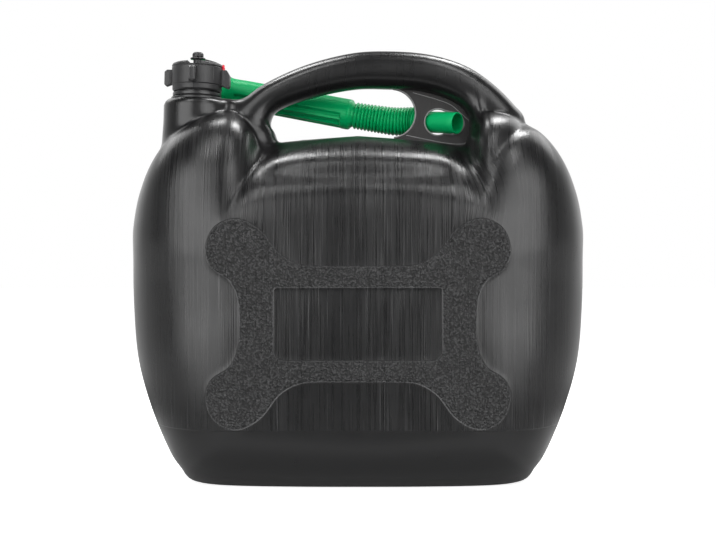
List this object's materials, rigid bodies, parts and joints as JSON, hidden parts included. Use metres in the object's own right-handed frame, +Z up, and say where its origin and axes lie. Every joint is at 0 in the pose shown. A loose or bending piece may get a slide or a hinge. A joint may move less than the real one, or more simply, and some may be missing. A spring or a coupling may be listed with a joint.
{
  "type": "fuel jerrycan",
  "caption": "Black blown fuel can with a moulded carrying handle, a screw cap with child lock and strap, and a green spout stored behind the handle.",
  "frame": {"origin": "middle of the base, on the floor", "axes": "+X to the right along the can's width with the neck on the -X side, +Y to the back, +Z up"},
  "size_m": [0.4248, 0.1778, 0.4033],
  "materials": {
    "tank": "black blown polyethylene, satin with fine upright draw lines",
    "spout": "green polyethylene",
    "cap": "black moulded plastic",
    "cap_seal": "soft sealing disc",
    "lock_lever": "red moulded plastic",
    "strap": "black flexible plastic"
  },
  "bodies": {
    "can": {"tank": "tank", "spout": "spout"},
    "strap": {"strap": "strap"},
    "cap": {"cap": "cap", "cap_seal": "cap_seal"},
    "lock_lever": {"lock_lever": "lock_lever"}
  },
  "joints": [
    {"name": "cap_rise", "type": "slide", "parent": "can", "child": "strap", "axis": [0.0244, 0, 0.9997], "range_m": [0, 0.0126]},
    {"name": "cap_turn", "type": "hinge", "parent": "strap", "child": "cap", "pos_m": [-0.153, 0, 0.358], "axis": [0.0244, 0, 0.9997], "range_deg": [0, 900]},
    {"name": "lock_press", "type": "hinge", "parent": "cap", "child": "lock_lever", "pos_m": [-0.12592, -0.00117, 0.37434], "axis": [-0.0436, -0.999, 0.0011], "range_deg": [0, 4], "stiffness_Nm_per_rad": 0.02}
  ],
  "couplings": [
    {"joint": "cap_rise", "follows": "cap_turn", "m_per_rad": 0.00079577}
  ]
}
